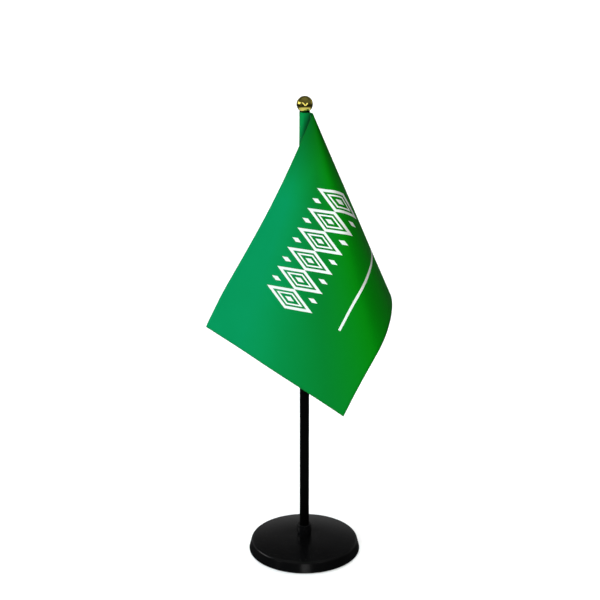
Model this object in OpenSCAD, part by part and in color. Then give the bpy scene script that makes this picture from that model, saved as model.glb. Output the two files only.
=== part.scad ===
// Desk flag stand: a weighted round base, a slim pole with a ball on top, and a small flag
// on a sewn sleeve. Millimetres, +Z up. The origin is the centre of the grip pad's underside,
// so the stand rests on the plane z = 0. +X is to the right and -Y is towards the viewer.

/* [Base] */
// Diameter of the base at its lower rim
base_d = 97; // [80:1:130]
// Height of the top of the dome above the table
base_h = 13; // [12:0.5:18]
// How far the dome rises from its shoulder to its centre
dome_rise = 3.3; // [2:0.1:4]
// How far the shoulder lies inside the lower rim
wall_lean = 2.4; // [1:0.1:4]
// Radius of the rounded shoulder
shoulder_r = 2.2; // [1:0.1:3]
// Wall of the moulded shell
shell_t = 2.2; // [1.6:0.1:2.6]
// Gap between the rim and the table
rim_gap = 0.5; // [0.4:0.1:1.4]

/* [Underside] */
// Thickness of the rubber grip pad
pad_t = 1.5; // [1:0.1:2.5]
// Thickness of the bottom plate
plate_t = 1.8; // [1.5:0.1:2.4]
// Thickness of the iron ballast disc
ballast_t = 4.8; // [3:0.1:5]
// Number of screws that hold the bottom plate
screw_count = 3; // [3:1:6]
// Radius of the circle that the screws stand on
screw_ring_r = 34; // [26:1:36]
// Shank diameter of a screw
screw_d = 2.6; // [2:0.1:3]
// Head diameter of a screw
screw_head_d = 5; // [4.5:0.1:6]
// Height of a screw head
screw_head_h = 1; // [0.8:0.1:1.2]
// Outer diameter of a moulded screw pillar
pillar_d = 6.4; // [5.5:0.1:8]

/* [Pole and collar] */
// Outer diameter of the pole
pole_d = 8.1; // [6:0.1:10]
// Wall of the pole tube
pole_wall = 0.9; // [0.6:0.1:1.5]
// Length of the pole tube
pole_l = 385; // [320:1:480]
// Height of the collar above the dome
collar_h = 10.5; // [8:0.5:20]
// Wall of the collar's shank round the pole
shank_wall = 1.3; // [1:0.1:2]
// How far the collar bulges past its shank
collar_bulge = 1; // [0.3:0.1:1.5]
// Floor under the pole in the collar's socket
socket_floor_t = 1.4; // [1:0.1:2]
// Width across the flats of the collar's nut
nut_af = 15; // [14.5:0.5:18]
// Thickness of the collar's nut
nut_t = 2.6; // [2:0.1:3]

/* [Finial] */
// Diameter of the ball
ball_d = 13.2; // [10:0.2:20]
// Length of the spigot that pushes into the pole
spigot_l = 12; // [6:1:20]

/* [Flag] */
// Height of the flag along the pole
flag_h = 140; // [100:1:170]
// Width of the flag from its seam to its free end
flag_w = 200; // [150:1:220]
// Thickness of the cloth, drawn heavier than life so that it is a sound solid
cloth_t = 0.5; // [0.4:0.05:0.8]
// Distance from the pole's axis to the flag's seam
seam_reach = 7.9; // [7.5:0.1:10]
// Direction of the seam round the pole, in degrees from +X
seam_turn = -43; // [-60:1:-30]
// Distance between the pole's top and the sleeve's top
sleeve_drop = 0.9; // [0.5:0.1:3]
// Height of the rubber ring that the sleeve rests on
ring_h = 3; // [2:0.5:6]
// Wall of the rubber ring
ring_wall = 1.2; // [0.8:0.1:2]
// Length of one stitch in the seam
stitch_l = 2.2; // [1.5:0.1:3]
// Distance from one stitch to the next
stitch_pitch = 3.2; // [2.5:0.1:5]

/* [Hidden] */
$fn = 96;
eps = 0.01;

// Clearances between pieces, as radii or gaps
plate_fit = 0.3;        // bottom plate inside the shell's skirt
pad_inset = 1.2;        // grip pad inside the plate's edge
ballast_fit = 0.8;      // ballast disc round the pillars and the nut
hole_fit = 0.15;        // collar's shank in the shell's hole
pole_fit = 0.1;         // pole in the collar's socket
spigot_fit = 0.1;       // finial's spigot in the pole
ring_fit = 0.05;        // rubber ring on the pole
sleeve_fit = 0.3;       // sleeve round the pole
ring_gap = 0.2;         // sleeve above the rubber ring
socket_gap = 0.2;       // collar's foot above the bottom plate
screw_bite = 4;         // how far a screw reaches into its pillar
stitch_d = 0.35;        // thickness of the sewing thread

// Base heights and radii
plate_z = pad_t;
ballast_z = plate_z + plate_t;
rim_r = base_d / 2;
shoulder_z = base_h - dome_rise;
top_r = rim_r - wall_lean;
plate_r = top_r - shell_t - plate_fit;
ballast_r = plate_r - ballast_fit - 4;
seat_r = nut_af / sqrt(3) + 0.4;     // flat seat of the collar above and of its nut below
DOME_STEPS = 14;
SHOULDER_STEPS = 6;

// Collar and pole
socket_r = pole_d / 2 + pole_fit;
shank_r = socket_r + shank_wall;
shank_z = ballast_z + socket_gap;
pole_z = shank_z + socket_floor_t;
pole_top = pole_z + pole_l;
pole_r = pole_d / 2;
bore_r = pole_r - pole_wall;
nut_z = base_h - shell_t - nut_t;
COLLAR_STEPS = 10;

// Finial: the ball is cut flat where it meets the pole's end
ball_r = ball_d / 2;
ball_z = pole_top + sqrt(ball_r * ball_r - pole_r * pole_r);

// Flag: sleeve, seam and the point that every fold line of the hanging cloth runs from
sleeve_top = pole_top - sleeve_drop;
sleeve_z = sleeve_top - flag_h;
sleeve_r = pole_r + sleeve_fit;
tab_t = 2 * cloth_t;
tab_r = sleeve_r + cloth_t + 1.4;
ring_z = sleeve_z - ring_gap - ring_h;
stitch_r = (tab_r + seam_reach) / 2;
stitch_n = floor((flag_h - stitch_pitch) / stitch_pitch);
fold_rise = 4;
apex = [seam_reach * cos(seam_turn), seam_reach * sin(seam_turn), sleeve_top + fold_rise];

// How the cloth hangs: where its fold lines cross a level plane that is one unit below the
// apex, from the seam, round the soft fold at the right, to the free end at the left
DRAPE = [[0, 0], [0.24, 0.05], [0.37, 0.02], [0.43, -0.1], [0.41, -0.24], [0.33, -0.345],
         [0.24, -0.36], [0.07, -0.28], [-0.15, -0.18], [-0.49, -0.035]];
DRAPE_STEPS = 8;
COLUMNS = 44;
ROWS = 20;

// ---------- Functions ----------

function unit(v) = v / norm(v);

// Smooth curve through p1 and p2, t from 0 to 1, with p0 and p3 as its neighbours
function curve_point(p0, p1, p2, p3, t) =
    (2 * p1 + (p2 - p0) * t + (2 * p0 - 5 * p1 + 4 * p2 - p3) * t * t
     + (3 * p1 - p0 - 3 * p2 + p3) * t * t * t) / 2;

DRAPE_N = len(DRAPE);
DRAPE_ENDS = concat([2 * DRAPE[0] - DRAPE[1]], DRAPE, [2 * DRAPE[DRAPE_N - 1] - DRAPE[DRAPE_N - 2]]);
DRAPE_LINE = [
    for (i = [0:DRAPE_N - 2])
        for (k = [0:DRAPE_STEPS - (i == DRAPE_N - 2 ? 0 : 1)])
            curve_point(DRAPE_ENDS[i], DRAPE_ENDS[i + 1], DRAPE_ENDS[i + 2], DRAPE_ENDS[i + 3],
                        k / DRAPE_STEPS)
];
// Directions of the fold lines, and the flat angle between the seam and each of them
RAYS = [for (q = DRAPE_LINE) unit([q[0], q[1], -1])];
STEP_ANGLES = [for (i = [1:len(RAYS) - 1]) 2 * asin(norm(RAYS[i] - RAYS[i - 1]) / 2)];
RAY_ANGLES = [
    for (i = 0, a = 0; i < len(RAYS); a = a + (i < len(STEP_ANGLES) ? STEP_ANGLES[i] : 0), i = i + 1) a
];
function ray_table(axis) = [for (i = [0:len(RAYS) - 1]) [RAY_ANGLES[i], RAYS[i][axis]]];
RAY_X = ray_table(0);
RAY_Y = ray_table(1);
RAY_Z = ray_table(2);
function ray(a) = unit([lookup(a, RAY_X), lookup(a, RAY_Y), lookup(a, RAY_Z)]);
function ray_normal(a) = unit(cross(ray(max(a - 1, 0)), ray(min(a + 1, 90))));

// A point of the hanging cloth: u from the seam and v below the top edge, on the flat cloth.
// The cloth keeps its lengths, because it only turns about lines through the apex.
function cloth_point(u, v, side) =
    let (a = atan2(u, v + fold_rise), r = norm([u, v + fold_rise]))
    apex + r * ray(a) + side * cloth_t / 2 * ray_normal(a);

// Outer line of the base from the rim up to the collar's seat, moved in by t
function base_outline(t) =
    let (lean = wall_lean / (shoulder_z - rim_gap),
         corner = [top_r - t, shoulder_z - t],
         round_r = max(shoulder_r - t, 0.4),
         wall_a = atan(lean))
    concat(
        [[rim_r - t, rim_gap - (t > 0 ? 1 : 0)]],
        [for (k = [0:SHOULDER_STEPS])
            let (a = wall_a + (86 - wall_a) * k / SHOULDER_STEPS)
            corner + round_r * [cos(a) - cos(wall_a), sin(a) - 1]],
        [for (k = [1:DOME_STEPS])
            let (s = k / DOME_STEPS, r = (top_r - t - round_r) * (1 - s) + seat_r * s)
            [r, shoulder_z - t + dome_rise * (1 - pow((r - seat_r) / (top_r - t - round_r - seat_r), 2))]]
    );

module ring_of(count, r) {
    for (k = [0:count - 1])
        rotate([0, 0, 90 + 360 * k / count])
            translate([r, 0, 0])
                children();
}

// ---------- Base ----------

module grip_pad() {
    color([0.06, 0.06, 0.065])
        cylinder(h = pad_t, r = plate_r - pad_inset);
}

module bottom_plate() {
    color([0.09, 0.09, 0.1])
        difference() {
            translate([0, 0, plate_z])
                cylinder(h = plate_t, r = plate_r);
            ring_of(screw_count, screw_ring_r) {
                translate([0, 0, plate_z - eps])
                    cylinder(h = plate_t + 2 * eps, r = screw_d / 2 + hole_fit);
                translate([0, 0, plate_z - eps])
                    cylinder(h = screw_head_h + eps, r = screw_head_d / 2 + hole_fit);
            }
        }
}

module plate_screws() {
    color([0.72, 0.73, 0.75])
        ring_of(screw_count, screw_ring_r) {
            translate([0, 0, plate_z])
                cylinder(h = screw_head_h, r = screw_head_d / 2);
            translate([0, 0, plate_z])
                cylinder(h = plate_t + screw_bite, r = screw_d / 2);
        }
}

module ballast_disc() {
    color([0.33, 0.33, 0.35])
        difference() {
            translate([0, 0, ballast_z])
                cylinder(h = ballast_t, r = ballast_r);
            translate([0, 0, ballast_z - eps])
                cylinder(h = ballast_t + 2 * eps, r = nut_af / sqrt(3) + ballast_fit);
            ring_of(screw_count, screw_ring_r)
                translate([0, 0, ballast_z - eps])
                    cylinder(h = ballast_t + 2 * eps, r = pillar_d / 2 + ballast_fit);
        }
}

module base_shell() {
    outer = base_outline(0);
    inner = base_outline(shell_t);
    color([0.05, 0.05, 0.055])
        difference() {
            union() {
                rotate_extrude()
                    difference() {
                        polygon(concat(outer, [[0, base_h], [0, rim_gap]]));
                        polygon(concat(inner, [[0, base_h - shell_t], [0, 0]]));
                    }
                // Screw pillars, from the bottom plate up into the dome
                intersection() {
                    ring_of(screw_count, screw_ring_r)
                        translate([0, 0, ballast_z])
                            cylinder(h = base_h - ballast_z, r = pillar_d / 2);
                    rotate_extrude()
                        polygon(concat(base_outline(shell_t / 2), [[0, base_h - shell_t / 2], [0, 0]]));
                }
            }
            translate([0, 0, -eps])
                cylinder(h = base_h + 1, r = shank_r + hole_fit);
            ring_of(screw_count, screw_ring_r)
                translate([0, 0, ballast_z - eps])
                    cylinder(h = screw_bite + eps, r = screw_d / 2);
        }
}

module pole_collar() {
    bulge = [for (k = [0:COLLAR_STEPS])
        let (s = k / COLLAR_STEPS)
        [shank_r - 0.3 + (collar_bulge + 0.3) * sqrt(sin(180 * (0.08 + 0.8 * s))),
         base_h + collar_h * s]];
    color([0.07, 0.07, 0.075])
        difference() {
            union() {
                rotate_extrude()
                    polygon(concat([[0, base_h]], bulge, [[0, base_h + collar_h]]));
                translate([0, 0, shank_z])
                    cylinder(h = base_h - shank_z + eps, r = shank_r);
            }
            translate([0, 0, pole_z])
                cylinder(h = base_h + collar_h, r = socket_r);
        }
}

module collar_nut() {
    color([0.7, 0.71, 0.73])
        translate([0, 0, nut_z])
            difference() {
                cylinder(h = nut_t, r = nut_af / sqrt(3), $fn = 6);
                translate([0, 0, -eps])
                    cylinder(h = nut_t + 2 * eps, r = shank_r);
            }
}

// ---------- Pole ----------

module pole_tube() {
    color([0.04, 0.04, 0.045])
        translate([0, 0, pole_z])
            difference() {
                cylinder(h = pole_l, r = pole_r);
                translate([0, 0, -eps])
                    cylinder(h = pole_l + 2 * eps, r = bore_r);
            }
}

module finial_ball() {
    color([0.83, 0.64, 0.2]) {
        difference() {
            translate([0, 0, ball_z])
                sphere(r = ball_r);
            translate([0, 0, pole_top - ball_d])
                cylinder(h = ball_d, r = ball_d);
        }
        translate([0, 0, pole_top - spigot_l])
            cylinder(h = spigot_l + 1, r = bore_r - spigot_fit);
    }
}

// ---------- Flag ----------

module stop_ring() {
    color([0.1, 0.1, 0.1])
        translate([0, 0, ring_z])
            difference() {
                cylinder(h = ring_h, r = pole_r + ring_wall);
                translate([0, 0, -eps])
                    cylinder(h = ring_h + 2 * eps, r = pole_r + ring_fit);
            }
}

// The stitches, grown by gap all round so that the same shape also cuts their holes
module stitches() {
    rotate([0, 0, seam_turn])
        for (k = [0:stitch_n - 1])
            translate([stitch_r - stitch_d / 2, -tab_t / 2 - stitch_d / 2,
                       sleeve_top - stitch_pitch * (k + 1) - stitch_l / 2])
                cube([stitch_d, tab_t + stitch_d, stitch_l]);
}

module flag_sleeve() {
    wrap_r = sleeve_r + cloth_t;
    lean = acos(wrap_r / tab_r);
    color([0, 0.48, 0.27])
        difference() {
            translate([0, 0, sleeve_z])
                rotate([0, 0, seam_turn])
                    union() {
                        cylinder(h = flag_h, r = wrap_r);
                        // Seam tab, whose two layers leave the sleeve along its tangents
                        linear_extrude(height = flag_h)
                            polygon([[0, 0], wrap_r * [cos(lean), sin(lean)],
                                     [tab_r, tab_t / 2], [seam_reach, tab_t / 2],
                                     [seam_reach, -tab_t / 2], [tab_r, -tab_t / 2],
                                     wrap_r * [cos(lean), -sin(lean)]]);
                    }
            translate([0, 0, sleeve_z - eps])
                cylinder(h = flag_h + 2 * eps, r = sleeve_r);
            stitches();
        }
}

module flag_panel() {
    wide = COLUMNS + 1;
    count = wide * (ROWS + 1);
    function at(i, j, side) = (side > 0 ? 0 : count) + j * wide + i;
    // Columns lie closer together near the seam, where the cloth turns in a small space
    points = [for (side = [1, -1]) for (j = [0:ROWS]) for (i = [0:COLUMNS])
        cloth_point(flag_w * pow(i / COLUMNS, 1.5), flag_h * j / ROWS, side)];
    cells = [for (j = [0:ROWS - 1]) for (i = [0:COLUMNS - 1]) [i, j]];
    faces = concat(
        [for (c = cells) [at(c[0], c[1], 1), at(c[0] + 1, c[1], 1), at(c[0] + 1, c[1] + 1, 1)]],
        [for (c = cells) [at(c[0], c[1], 1), at(c[0] + 1, c[1] + 1, 1), at(c[0], c[1] + 1, 1)]],
        [for (c = cells) [at(c[0], c[1], -1), at(c[0] + 1, c[1] + 1, -1), at(c[0] + 1, c[1], -1)]],
        [for (c = cells) [at(c[0], c[1], -1), at(c[0], c[1] + 1, -1), at(c[0] + 1, c[1] + 1, -1)]],
        [for (i = [0:COLUMNS - 1]) [at(i, 0, 1), at(i, 0, -1), at(i + 1, 0, -1)]],
        [for (i = [0:COLUMNS - 1]) [at(i, 0, 1), at(i + 1, 0, -1), at(i + 1, 0, 1)]],
        [for (i = [0:COLUMNS - 1]) [at(i, ROWS, 1), at(i + 1, ROWS, -1), at(i, ROWS, -1)]],
        [for (i = [0:COLUMNS - 1]) [at(i, ROWS, 1), at(i + 1, ROWS, 1), at(i + 1, ROWS, -1)]],
        [for (j = [0:ROWS - 1]) [at(0, j, 1), at(0, j + 1, -1), at(0, j, -1)]],
        [for (j = [0:ROWS - 1]) [at(0, j, 1), at(0, j + 1, 1), at(0, j + 1, -1)]],
        [for (j = [0:ROWS - 1]) [at(COLUMNS, j, 1), at(COLUMNS, j, -1), at(COLUMNS, j + 1, -1)]],
        [for (j = [0:ROWS - 1]) [at(COLUMNS, j, 1), at(COLUMNS, j + 1, -1), at(COLUMNS, j + 1, 1)]]
    );
    color([0, 0.48, 0.27])
        polyhedron(points = points, faces = faces, convexity = 6);
}

module sleeve_stitching() {
    color([0, 0.42, 0.24])
        stitches();
}

// ---------- Nodes ----------

grip_pad();
bottom_plate();
plate_screws();
ballast_disc();
base_shell();
pole_collar();
collar_nut();
pole_tube();
finial_ball();
stop_ring();
flag_sleeve();
flag_panel();
sleeve_stitching();
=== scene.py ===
"""Looks of the desk flag stand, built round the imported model.

Lengths in the formulas are metres. The pieces are lathe surfaces and one sheet of cloth, each worked
out as a numpy grid, and each material is a node tree whose pattern sizes come from real ones.
"""

import math

import bpy
import numpy as np
from bpy.props import FloatProperty, FloatVectorProperty, IntProperty, PointerProperty
from mathutils import Matrix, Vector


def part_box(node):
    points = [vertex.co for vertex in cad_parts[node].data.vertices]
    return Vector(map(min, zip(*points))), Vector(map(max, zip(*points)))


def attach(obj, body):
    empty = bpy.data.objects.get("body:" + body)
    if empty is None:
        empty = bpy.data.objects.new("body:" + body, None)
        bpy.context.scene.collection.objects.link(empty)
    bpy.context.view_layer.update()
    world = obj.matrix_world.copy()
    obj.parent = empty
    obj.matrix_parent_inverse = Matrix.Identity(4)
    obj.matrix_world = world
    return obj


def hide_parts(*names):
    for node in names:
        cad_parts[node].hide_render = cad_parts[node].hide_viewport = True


bl_info = {
    "name": "Desk Flag Stand",
    "version": (1, 0, 0),
    "blender": (4, 5, 0),
    "location": "3D Viewport > Sidebar > Flag Stand",
    "description": "Builds the visible pieces, materials and stage of a desk flag stand",
    "category": "Object",
}

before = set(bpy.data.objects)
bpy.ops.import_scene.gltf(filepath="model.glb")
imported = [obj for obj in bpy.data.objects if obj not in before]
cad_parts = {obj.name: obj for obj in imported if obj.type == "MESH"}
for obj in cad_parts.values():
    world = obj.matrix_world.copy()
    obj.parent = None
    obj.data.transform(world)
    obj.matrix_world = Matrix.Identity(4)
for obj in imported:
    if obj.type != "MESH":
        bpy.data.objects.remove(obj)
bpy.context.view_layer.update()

MM = 0.001
TAU = 2 * math.pi
# Half the angle at a corner that counts as straight and takes no arc
NEARLY_STRAIGHT = math.radians(89.5)
# Steps along each arc
ARC_STEPS = 8


# ---------- Colours ----------


def linear(hex_colour):
    """An sRGB hex colour as linear red, green and blue."""
    parts = [int(hex_colour[i : i + 2], 16) / 255 for i in (1, 3, 5)]
    return tuple(c / 12.92 if c <= 0.04045 else ((c + 0.055) / 1.055) ** 2.4 for c in parts)


def rgba(colour):
    """A linear colour with full alpha, as shader sockets take it."""
    return (*colour[:3], 1.0)


# ---------- Sizes taken from the frame ----------


def node_span(name):
    """Outer radius, lowest and highest z of a round CAD node that stands on the pole's axis."""
    low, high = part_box(name)
    return high.x, low.z, high.z


RIM_R, RIM_Z, BASE_TOP = node_span("base_shell")
COLLAR_R, SHANK_Z, COLLAR_TOP = node_span("pole_collar")
POLE_R, POLE_Z, POLE_TOP = node_span("pole_tube")
BALL_R, SPIGOT_Z, BALL_TOP = node_span("finial_ball")
RING_R, RING_Z, RING_TOP = node_span("stop_ring")
PAD_R, PAD_Z, PAD_TOP = node_span("grip_pad")
SLEEVE_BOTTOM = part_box("flag_sleeve")[0].z
SLEEVE_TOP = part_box("flag_sleeve")[1].z
FLAG_H = SLEEVE_TOP - SLEEVE_BOTTOM


# ---------- Settings shown in the sidebar ----------


class FlagStandSizes(bpy.types.PropertyGroup):
    """Sizes that the frame leaves to the looks."""

    shell_wall: FloatProperty(
        name="Shell wall", description="Wall of the moulded base cover",
        default=2.2 * MM, min=0.0, unit="LENGTH",
    )
    wall_lean: FloatProperty(
        name="Wall lean", description="How far the shoulder lies inside the rim",
        default=2.4 * MM, min=0.0, unit="LENGTH",
    )
    dome_rise: FloatProperty(
        name="Dome rise", description="Height of the dome over its shoulder",
        default=3.3 * MM, min=0.0, unit="LENGTH",
    )
    shoulder_radius: FloatProperty(
        name="Shoulder radius", description="Rounding where the wall meets the dome",
        default=2.2 * MM, min=0.0, unit="LENGTH",
    )
    seat_radius: FloatProperty(
        name="Seat radius", description="Flat middle of the dome, under the collar",
        default=9.1 * MM, min=0.0, unit="LENGTH",
    )
    flag_width: FloatProperty(
        name="Flag width", description="Cloth from the seam to the free end",
        default=200 * MM, min=0.0, unit="LENGTH",
    )
    seam_reach: FloatProperty(
        name="Seam reach", description="Pole axis to the seam's outer edge",
        default=7.9 * MM, min=0.0, unit="LENGTH",
    )
    seam_turn: FloatProperty(
        name="Seam turn", description="Direction of the seam round the pole",
        default=math.radians(-43), subtype="ANGLE",
    )
    cloth_thickness: FloatProperty(
        name="Cloth thickness", description="Thickness of the woven polyester",
        default=0.25 * MM, min=0.0, unit="LENGTH",
    )
    thread_thickness: FloatProperty(
        name="Thread thickness", description="Thickness of the sewing thread",
        default=0.35 * MM, min=0.0, unit="LENGTH",
    )
    stitch_pitch: FloatProperty(
        name="Stitch pitch", description="One stitch to the next",
        default=3.2 * MM, min=0.0, unit="LENGTH",
    )
    rings: IntProperty(
        name="Lathe steps", description="Steps round each turned piece", default=160, min=24, max=512
    )


class FlagStandColours(bpy.types.PropertyGroup):
    """Base colours of the visible finishes."""

    cloth: FloatVectorProperty(
        name="Cloth", description="Dyed polyester at the seam end",
        default=linear("#008d0b"), size=3, min=0.0, max=1.0, subtype="COLOR",
    )
    # Painted cool light: the cloth's colour as tinted by a cool light from the left, mixed in towards the
    # top edge
    cloth_cool_lit: FloatVectorProperty(
        name="Cloth, free end", description="Dyed polyester at the free end",
        default=linear("#009a5d"), size=3, min=0.0, max=1.0, subtype="COLOR",
    )
    motif: FloatVectorProperty(
        name="Motif", description="Undyed white of the printed motif",
        default=linear("#fbfdfa"), size=3, min=0.0, max=1.0, subtype="COLOR",
    )
    gloss_black: FloatVectorProperty(
        name="Gloss black", description="Base cover and collar",
        default=linear("#070708"), size=3, min=0.0, max=1.0, subtype="COLOR",
    )
    satin_black: FloatVectorProperty(
        name="Satin black", description="Pole",
        default=linear("#020202"), size=3, min=0.0, max=1.0, subtype="COLOR",
    )
    gold: FloatVectorProperty(
        name="Gold", description="Plated ball",
        default=linear("#fff27e"), size=3, min=0.0, max=1.0, subtype="COLOR",
    )


# ---------- Mesh tools ----------


def rounded(corners, radii):
    """Profile through corner points, with an arc of the given radius at each one.

    An arc starts and ends where it touches the two lines that meet at the corner, which is the
    radius over the tangent of half the angle away from it. A radius of 0 keeps the corner sharp.
    """
    corners = np.asarray(corners, float)
    line = [corners[:1]]
    for before, at, after, radius in zip(corners[:-2], corners[1:-1], corners[2:], radii[1:-1]):
        a = (before - at) / np.linalg.norm(before - at)
        b = (after - at) / np.linalg.norm(after - at)
        half = math.acos(np.clip(a @ b, -1, 1)) / 2
        if radius <= 0 or half > NEARLY_STRAIGHT:
            line.append(at[None])
            continue
        centre = at + (a + b) / np.linalg.norm(a + b) * radius / math.sin(half)
        start, end = at + a * radius / math.tan(half), at + b * radius / math.tan(half)
        t = np.linspace(0, 1, ARC_STEPS + 1)[:, None]
        turn = math.pi - 2 * half
        from_start = np.sin((1 - t) * turn) * (start - centre)
        to_end = np.sin(t * turn) * (end - centre)
        line.append(centre + (from_start + to_end) / math.sin(turn))
    line.append(corners[-1:])
    return np.vstack(line)


def resampled(profile, longest):
    """The same profile with extra points, so that no step along it is longer than longest."""
    steps = np.linalg.norm(np.diff(profile, axis=0), axis=1)
    counts = np.maximum(np.ceil(steps / longest).astype(int), 1)
    pieces = [
        start + (end - start) * np.linspace(0, 1, n + 1)[:-1, None]
        for start, end, n in zip(profile[:-1], profile[1:], counts)
    ]
    return np.vstack([*pieces, profile[-1:]])


def new_object(name, mesh, material):
    """Links a mesh as an object at the origin, smooth shaded, with one material."""
    mesh.polygons.foreach_set("use_smooth", np.ones(len(mesh.polygons), bool))
    mesh.materials.append(material)
    obj = bpy.data.objects.new(name, mesh)
    bpy.context.scene.collection.objects.link(obj)
    return obj


def grid_faces(rows, columns, wrap_rows=False, wrap_columns=False):
    """Quads of a grid of rows x columns points, joined end to end where it wraps."""
    r = np.arange(rows if wrap_rows else rows - 1)
    c = np.arange(columns if wrap_columns else columns - 1)
    r, c = np.meshgrid(r, c, indexing="ij")
    r1, c1 = (r + 1) % rows, (c + 1) % columns
    quads = np.stack([r * columns + c, r * columns + c1, r1 * columns + c1, r1 * columns + c], -1)
    return quads.reshape(-1, 4)


def about_z(angle):
    """The matrix that turns points, given as rows, by an angle about the z axis."""
    c, s = math.cos(angle), math.sin(angle)
    return np.array([[c, s, 0], [-s, c, 0], [0, 0, 1]])


def mesh_from(name, points, faces):
    """A mesh from an array of points and an array of equal-sided faces."""
    sides = faces.shape[1]
    mesh = bpy.data.meshes.new(name)
    mesh.vertices.add(len(points))
    mesh.vertices.foreach_set("co", np.asarray(points, np.float32).ravel())
    mesh.loops.add(faces.size)
    mesh.loops.foreach_set("vertex_index", faces.astype(np.int32).ravel())
    mesh.polygons.add(len(faces))
    mesh.polygons.foreach_set("loop_start", np.arange(0, faces.size, sides, dtype=np.int32))
    mesh.update(calc_edges=True)
    mesh.validate()
    return mesh


def lathe(name, profile, steps, closed=False):
    """Turns a profile of (radius, z) points round the z axis.

    A point at angle a is (radius cos a, radius sin a, z). An open profile starts and ends on the
    axis, where a single point closes the surface; a closed one joins its last point to its first.
    The profile runs so that the outside lies on its right.
    """
    angles = np.linspace(0, TAU, steps, endpoint=False)
    body = profile if closed else profile[1:-1]
    r, z = body[:, 0][:, None], body[:, 1][:, None]
    points = np.stack([r * np.cos(angles), r * np.sin(angles), z + 0 * angles], -1).reshape(-1, 3)
    faces = grid_faces(len(body), steps, wrap_rows=closed, wrap_columns=True)
    if closed:
        return mesh_from(name, points, faces)
    ends = np.array([[0, 0, profile[0, 1]], [0, 0, profile[-1, 1]]])
    first, last = len(points), len(points) + 1
    around = np.arange(steps)
    after = (around + 1) % steps
    top = (len(body) - 1) * steps
    cap_low = np.stack([np.full(steps, first), after, around], -1)
    cap_high = np.stack([np.full(steps, last), top + around, top + after], -1)
    mesh = bpy.data.meshes.new(name)
    polygons = [*faces.tolist(), *cap_low.tolist(), *cap_high.tolist()]
    mesh.from_pydata(np.vstack([points, ends]).tolist(), [], polygons)
    mesh.update()
    return mesh


# ---------- Material tools ----------


def node(tree, kind, settings=None, links=None):
    """Adds a shader node. settings are its attributes or socket values, links its inputs' sources."""
    made = tree.nodes.new(kind)
    for key, value in (settings or {}).items():
        if isinstance(key, str) and hasattr(made, key):
            setattr(made, key, value)
        else:
            made.inputs[key].default_value = value
    for key, source in (links or {}).items():
        tree.links.new(source, made.inputs[key])
    return made


def new_material(name, settings):
    """A material with a principled surface and the given socket values; returns it, tree and shader."""
    material = bpy.data.materials.new(name)
    material.use_nodes = True
    tree = material.node_tree
    tree.nodes.clear()
    shader = node(tree, "ShaderNodeBsdfPrincipled", settings)
    node(tree, "ShaderNodeOutputMaterial", links={"Surface": shader.outputs["BSDF"]})
    return material, tree, shader


def noise(tree, coordinates, size, detail=3.0, stretch=(1, 1, 1)):
    """Noise whose blotches are about size metres across, squeezed along each axis by stretch."""
    scaled = node(
        tree, "ShaderNodeMapping", {"vector_type": "POINT", "Scale": tuple(s / size for s in stretch)},
        {"Vector": coordinates},
    )
    return node(
        tree, "ShaderNodeTexNoise", {"Scale": 1.0, "Detail": detail},
        {"Vector": scaled.outputs["Vector"]},
    ).outputs["Fac"]


def waves(tree, coordinates, scale, direction):
    """Smooth bands. Along X or Y they repeat every tenth of pi over scale, diagonally every fifth."""
    return node(
        tree, "ShaderNodeTexWave", {"Scale": scale, "bands_direction": direction}, {"Vector": coordinates}
    ).outputs["Fac"]


def spread(tree, value, low, high, from_low=0.3, from_high=0.7):
    """Maps a value from one range onto low to high."""
    return node(
        tree, "ShaderNodeMapRange",
        {"From Min": from_low, "From Max": from_high, "To Min": low, "To Max": high}, {"Value": value},
    ).outputs["Result"]


def mixed(tree, factor, a, b):
    """Mixes two colours or colour sockets by a factor socket."""
    made = node(tree, "ShaderNodeMix", {"data_type": "RGBA"})
    tree.links.new(factor, made.inputs[0])
    for socket, source in ((made.inputs[6], a), (made.inputs[7], b)):
        if isinstance(source, bpy.types.NodeSocket):
            tree.links.new(source, socket)
        else:
            socket.default_value = rgba(source)
    return made.outputs[2]


def maths(tree, operation, a, b=0.0, c=0.0):
    """One Math node on numbers or sockets."""
    made = node(tree, "ShaderNodeMath", {"operation": operation})
    for socket, source in zip(made.inputs, (a, b, c)):
        if isinstance(source, bpy.types.NodeSocket):
            tree.links.new(source, socket)
        else:
            socket.default_value = source
    return made.outputs[0]


def bumped(tree, shader, height, distance, strength=1.0):
    """Gives the shader a bump of the given height in metres."""
    made = node(tree, "ShaderNodeBump", {"Strength": strength, "Distance": distance}, {"Height": height})
    tree.links.new(made.outputs["Normal"], shader.inputs["Normal"])


def object_coordinates(tree):
    """The piece's own coordinates, in metres."""
    return node(tree, "ShaderNodeTexCoord").outputs["Object"]


# ---------- Materials ----------


def gloss_abs(colour_value):
    """Black ABS from a polished mould: a deep even gloss with a faint long ripple in reflections."""
    material, tree, shader = new_material("gloss_black_abs", {"IOR": 1.54})
    where = object_coordinates(tree)
    # Faint smears and settled dust change the gloss over about 12 mm
    smear = noise(tree, where, 12 * MM, detail=4)
    tree.links.new(spread(tree, smear, 0.17, 0.26), shader.inputs["Roughness"])
    # Fine dust of about 0.6 mm lifts the black a little here and there
    dust = maths(tree, "GREATER_THAN", noise(tree, where, 0.6 * MM, detail=1), 0.74)
    base = mixed(tree, maths(tree, "MULTIPLY", dust, 0.25), colour_value, linear("#2a2a2c"))
    tree.links.new(base, shader.inputs["Base Color"])
    # Sink marks of a moulding, about 25 mm long and a few microns deep
    bumped(tree, shader, noise(tree, where, 25 * MM, detail=2), 0.02 * MM, 0.5)
    return material


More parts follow.
